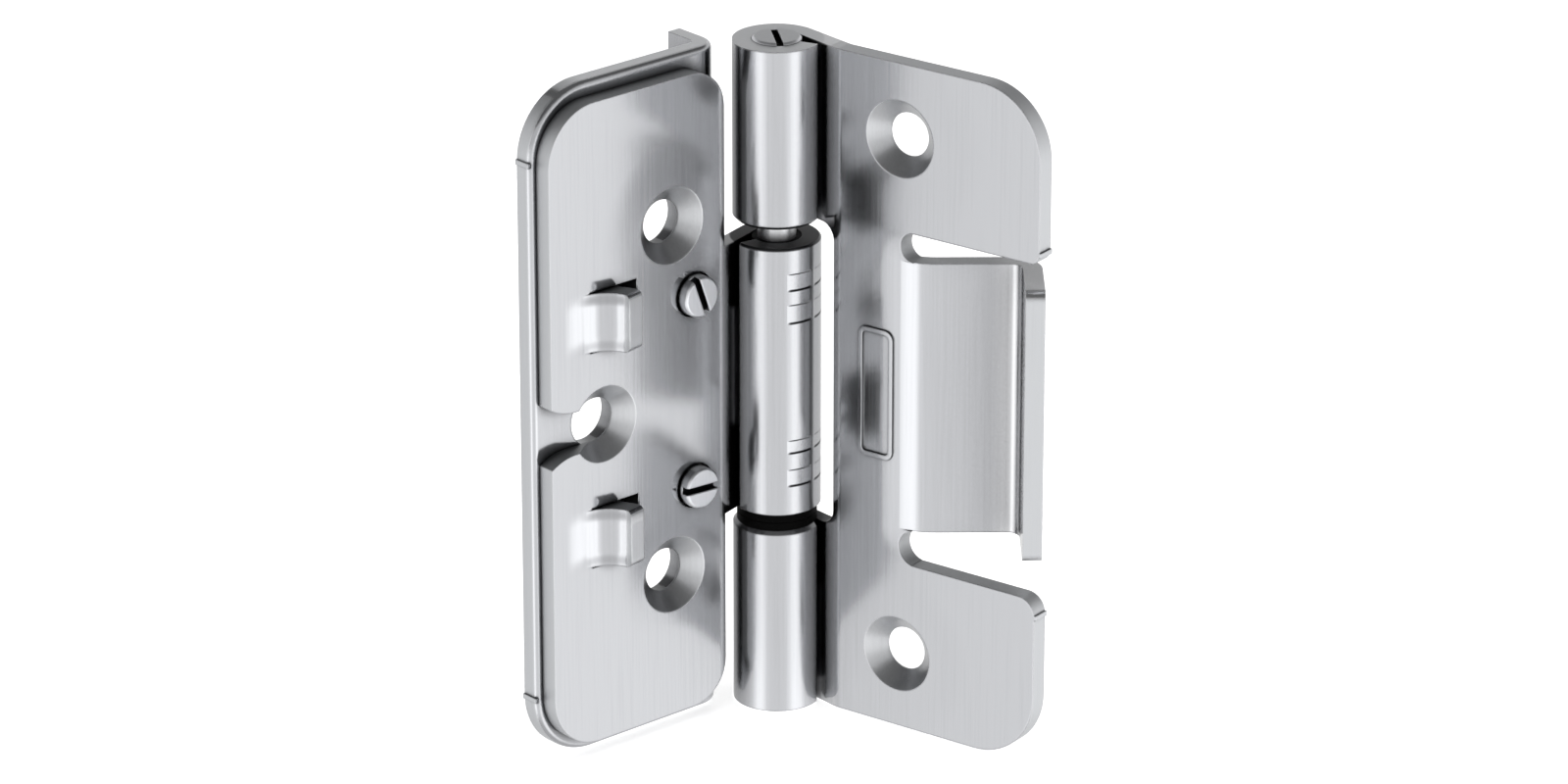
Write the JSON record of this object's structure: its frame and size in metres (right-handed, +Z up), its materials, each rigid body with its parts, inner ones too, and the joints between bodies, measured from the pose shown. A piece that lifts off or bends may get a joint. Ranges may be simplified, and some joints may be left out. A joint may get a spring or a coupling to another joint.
{
  "type": "butt hinge",
  "caption": "Folded sheet-steel butt hinge with curled knuckles on a pin, a tabbed frame leaf, and a door leaf clamped to a flanged back plate.",
  "frame": {"origin": "on the pin's axis at the lower end of the frame leaf", "axes": "+Z up along the pin, +X out along the frame leaf, -Y towards the side that faces the door leaf when it is shut"},
  "size_m": [0.0654, 0.0573, 0.1104],
  "materials": {
    "plated_steel": "bright plated, fine vertical grain",
    "pin_steel": "bright turned steel",
    "black_plastic": "matte moulded black"
  },
  "bodies": {
    "frame_side": {"frame_leaf": "plated_steel", "hinge_pin": "pin_steel", "pin_foot_bush": "black_plastic"},
    "door_side": {"door_leaf": "plated_steel", "back_plate": "plated_steel", "clamp_screws": "plated_steel", "upper_bush": "black_plastic", "lower_bush": "black_plastic"}
  },
  "joints": [
    {"name": "pin_hinge", "type": "hinge", "parent": "frame_side", "child": "door_side", "pos_m": [0, 0, 0], "axis": [0, 0, 1], "range_deg": [-167.4, 102.6]}
  ]
}
